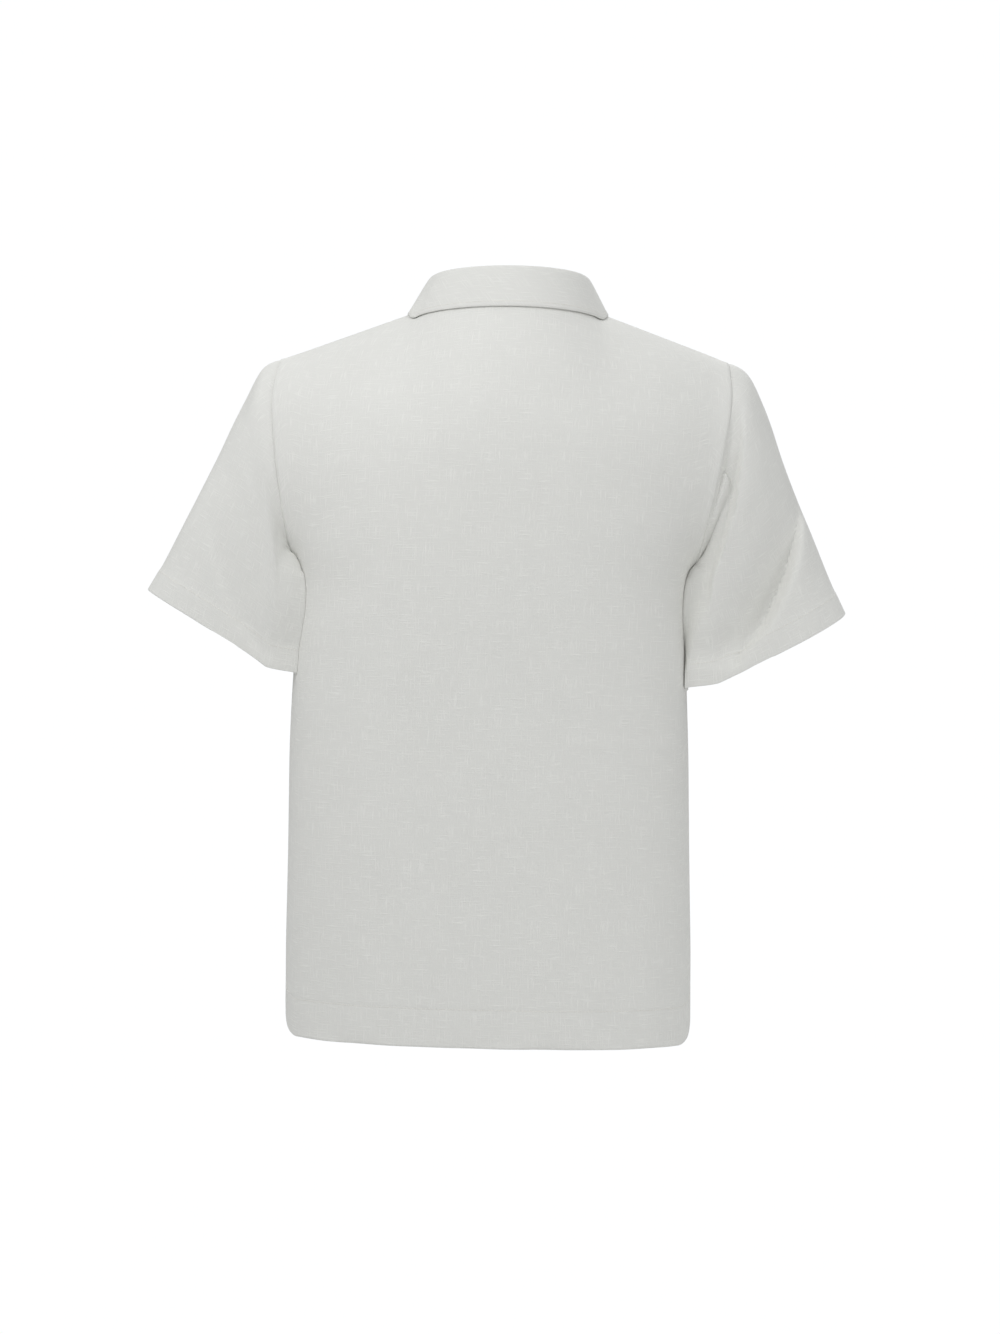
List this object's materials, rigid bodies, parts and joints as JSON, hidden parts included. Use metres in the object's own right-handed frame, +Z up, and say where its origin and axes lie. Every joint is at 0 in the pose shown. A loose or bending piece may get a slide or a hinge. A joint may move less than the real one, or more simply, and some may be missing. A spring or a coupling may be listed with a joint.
{
  "type": "polo shirt",
  "caption": "Short-sleeved polo shirt of pale woven linen, filled out as worn, with a fold-over collar and a half placket.",
  "frame": {"origin": "midway between the two neck points, at the height where the shoulder seams meet the collar", "axes": "+Z up, the wearer faces -Y, the wearer's left is +X"},
  "size_m": [0.6964, 0.2435, 0.7597],
  "materials": {
    "linen": "matte off-white woven linen with slubs",
    "buttons": "satin off-white polyester button"
  },
  "bodies": {
    "root": {"back": "linen", "front": "linen", "sleeve_left": "linen", "sleeve_right": "linen", "collar_stand": "linen", "collar_fall": "linen", "placket_under": "linen", "placket_upper": "linen", "button_1": "buttons", "button_2": "buttons", "button_3": "buttons"}
  },
  "joints": []
}
